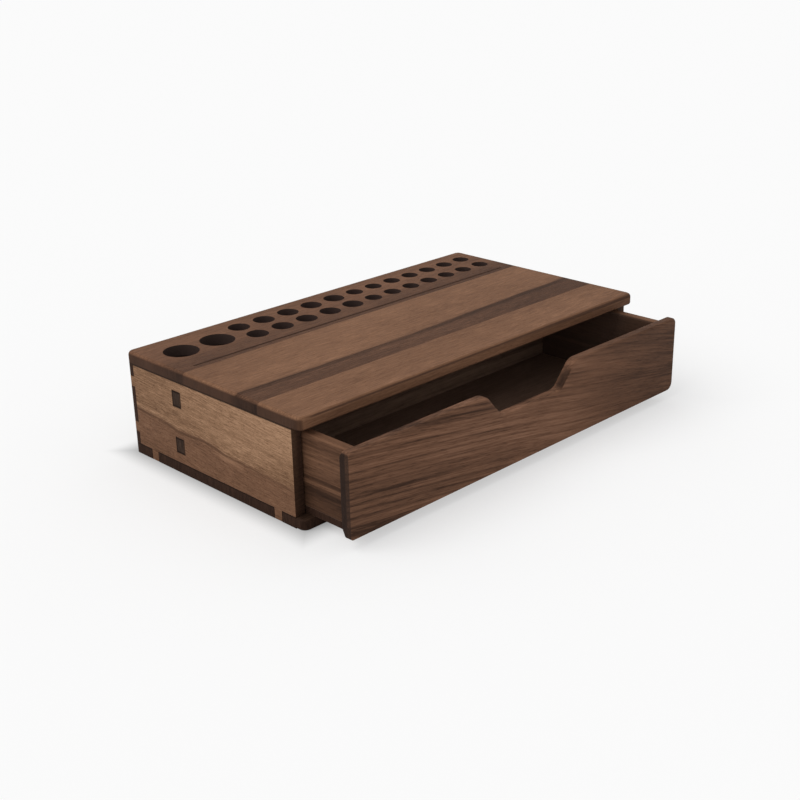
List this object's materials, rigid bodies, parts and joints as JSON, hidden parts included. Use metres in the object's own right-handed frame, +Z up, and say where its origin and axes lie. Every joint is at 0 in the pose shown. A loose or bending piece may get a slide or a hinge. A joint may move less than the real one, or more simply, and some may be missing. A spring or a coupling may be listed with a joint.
{
  "type": "desk organizer",
  "caption": "Low wooden desk organizer: pen holes and a card groove in the top, and a wide drawer with a finger notch below.",
  "frame": {"origin": "centre of the case's bottom face, where it stands on the desk", "axes": "+Z up, +X to the right seen from the drawer's side, and the drawer opens towards -Y"},
  "size_m": [0.3, 0.1977, 0.067],
  "materials": {
    "dark_walnut": "oiled satin, laser-cut edges burnt dark",
    "striped_walnut": "oiled satin",
    "light_walnut": "oiled satin",
    "side_walnut": "oiled satin, laser-cut edges burnt dark",
    "case_walnut": "oiled satin, laser-cut edges burnt dark",
    "front_walnut": "oiled satin, laser-cut edges burnt dark",
    "drawer_walnut": "oiled satin, laser-cut edges burnt dark"
  },
  "bodies": {
    "case": {"top_back_board": "dark_walnut", "top_middle_board": "striped_walnut", "top_front_board": "light_walnut", "left_side": "side_walnut", "right_side": "side_walnut", "back_panel": "case_walnut", "bottom_panel": "case_walnut", "partition": "case_walnut"},
    "drawer": {"drawer_front": "front_walnut", "drawer_left_side": "drawer_walnut", "drawer_right_side": "drawer_walnut", "drawer_back": "drawer_walnut", "drawer_floor": "drawer_walnut"}
  },
  "joints": [
    {"name": "drawer_slide", "type": "slide", "parent": "case", "child": "drawer", "axis": [0, -1, 0], "range_m": [-0.0357, 0.0493]}
  ]
}
